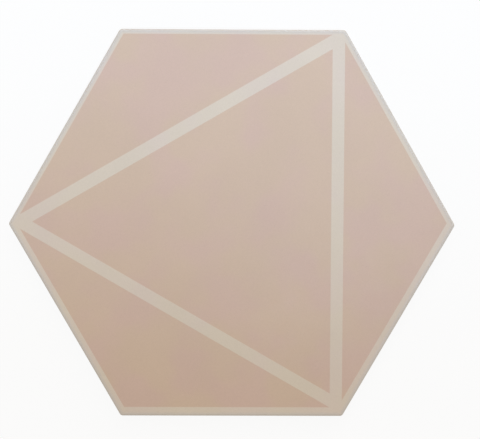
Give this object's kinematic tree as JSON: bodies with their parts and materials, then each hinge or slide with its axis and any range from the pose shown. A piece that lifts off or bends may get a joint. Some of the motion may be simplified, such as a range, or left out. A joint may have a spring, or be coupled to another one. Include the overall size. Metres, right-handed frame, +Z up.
{
  "type": "porcelain tile",
  "caption": "Flat hexagonal porcelain tile for floors and walls, satin matt pale rose glaze with an off-white border and inscribed triangle, honeycomb keyed back.",
  "frame": {"origin": "centre of the back, on the plane of the rib crests that the tile rests on", "axes": "+Z up out of the glazed face, X from corner to corner with the triangle's lone corner at -X, Y from flat side to flat side"},
  "size_m": [0.2494, 0.2166, 0.0085],
  "materials": {
    "glazed_porcelain": "satin matt glaze, pale rose with off-white bands; bare off-white body on the lower side and back"
  },
  "bodies": {
    "root": {"tile": "glazed_porcelain"}
  },
  "joints": []
}
